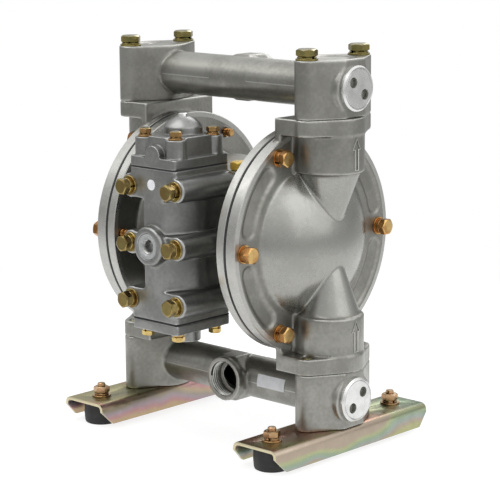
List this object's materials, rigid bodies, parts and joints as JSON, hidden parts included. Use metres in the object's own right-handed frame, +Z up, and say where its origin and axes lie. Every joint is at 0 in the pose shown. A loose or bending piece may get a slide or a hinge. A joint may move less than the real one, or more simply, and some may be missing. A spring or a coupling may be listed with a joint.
{
  "type": "air operated diaphragm pump",
  "caption": "Double diaphragm pump with two domed chambers, manifold tubes above and below, a front air valve and a two-rail base",
  "frame": {"origin": "on the floor, below the middle of the pump's box", "axes": "+X along the two manifolds and the diaphragm rod, -Y towards the air valve and the liquid inlet, +Z up"},
  "size_m": [0.2838, 0.259, 0.369],
  "materials": {
    "cast_aluminium": "die cast, matte, shot blasted",
    "valve_casting": "die cast, darker, matte",
    "machined_aluminium": "turned, bright",
    "rubber_black": "matte black",
    "gasket_black": "matte black sheet",
    "zinc_fastener": "yellow zinc plated",
    "rail_zinc": "iridescent yellow zinc plated sheet",
    "steel": "turned steel",
    "bronze": "sintered bronze",
    "brass_plug": "yellow zinc",
    "silencer_plastic": "moulded black",
    "inlet_thread": "pale, dull"
  },
  "bodies": {
    "root": {"air_disc_screws": "steel", "air_inlet_bushing": "inlet_thread", "bottom_cover_bolts": "zinc_fastener", "bottom_cover_gasket": "gasket_black", "button_spring": "steel", "centre_body": "cast_aluminium", "exhaust_silencer": "silencer_plastic", "foot_nuts": "zinc_fastener", "foot_studs": "zinc_fastener", "inlet_manifold": "cast_aluminium", "inlet_manifold_bolts": "zinc_fastener", "left_air_disc": "cast_aluminium", "left_base_rail": "rail_zinc", "left_chamber_bolts": "zinc_fastener", "left_diaphragm": "rubber_black", "left_fluid_cover": "cast_aluminium", "left_inlet_plug": "machined_aluminium", "left_inlet_seat": "steel", "left_outlet_plug": "machined_aluminium", "left_outlet_seat": "steel", "outlet_manifold": "cast_aluminium", "outlet_manifold_bolts": "zinc_fastener", "rear_gasket": "gasket_black", "right_air_disc": "cast_aluminium", "right_base_rail": "rail_zinc", "right_chamber_bolts": "zinc_fastener", "right_diaphragm": "rubber_black", "right_fluid_cover": "cast_aluminium", "right_inlet_plug": "machined_aluminium", "right_inlet_seat": "steel", "right_outlet_plug": "machined_aluminium", "right_outlet_seat": "steel", "rod_bushings": "bronze", "rod_seals": "gasket_black", "rubber_feet": "rubber_black", "seat_seal_rings": "gasket_black", "spring_plug": "steel", "top_cover_bolts": "zinc_fastener", "top_cover_gasket": "gasket_black", "valve_body": "valve_casting", "valve_body_bolts": "zinc_fastener", "valve_bottom_cover": "valve_casting", "valve_sleeve": "bronze", "valve_top_cover": "valve_casting", "vent_plug": "brass_plug"},
    "rod": {"centre_rod": "steel", "rod_nuts": "steel", "left_inner_plate": "steel", "right_inner_plate": "steel", "left_outer_plate": "steel", "right_outer_plate": "steel"},
    "spindle": {"pilot_spindle": "steel"},
    "spool": {"valve_spool": "steel"},
    "button": {"reset_button": "machined_aluminium"},
    "left_outlet_valve": {"left_outlet_ball": "rubber_black"},
    "right_outlet_valve": {"right_outlet_ball": "rubber_black"},
    "left_inlet_valve": {"left_inlet_ball": "rubber_black"},
    "right_inlet_valve": {"right_inlet_ball": "rubber_black"}
  },
  "joints": [
    {"name": "rod_stroke", "type": "slide", "parent": "root", "child": "rod", "axis": [1, 0, 0], "range_m": [-0.012, 0.012], "deforming": ["left_diaphragm", "right_diaphragm"]},
    {"name": "spindle_shift", "type": "slide", "parent": "root", "child": "spindle", "axis": [1, 0, 0], "range_m": [-0.002, 0.002]},
    {"name": "spool_shift", "type": "slide", "parent": "root", "child": "spool", "axis": [0, 0, 1], "range_m": [0, 0.014]},
    {"name": "reset_press", "type": "slide", "parent": "root", "child": "button", "axis": [0, 0, -1], "range_m": [0, 0.0016], "stiffness_N_per_m": 400, "springref_m": -0.004, "deforming": ["button_spring"]},
    {"name": "left_outlet_ball_lift", "type": "slide", "parent": "root", "child": "left_outlet_valve", "axis": [0, 0, 1], "range_m": [0, 0.008]},
    {"name": "left_inlet_ball_lift", "type": "slide", "parent": "root", "child": "left_inlet_valve", "axis": [0, 0, 1], "range_m": [0, 0.008]},
    {"name": "right_outlet_ball_lift", "type": "slide", "parent": "root", "child": "right_outlet_valve", "axis": [0, 0, 1], "range_m": [0, 0.008]},
    {"name": "right_inlet_ball_lift", "type": "slide", "parent": "root", "child": "right_inlet_valve", "axis": [0, 0, 1], "range_m": [0, 0.008]}
  ]
}
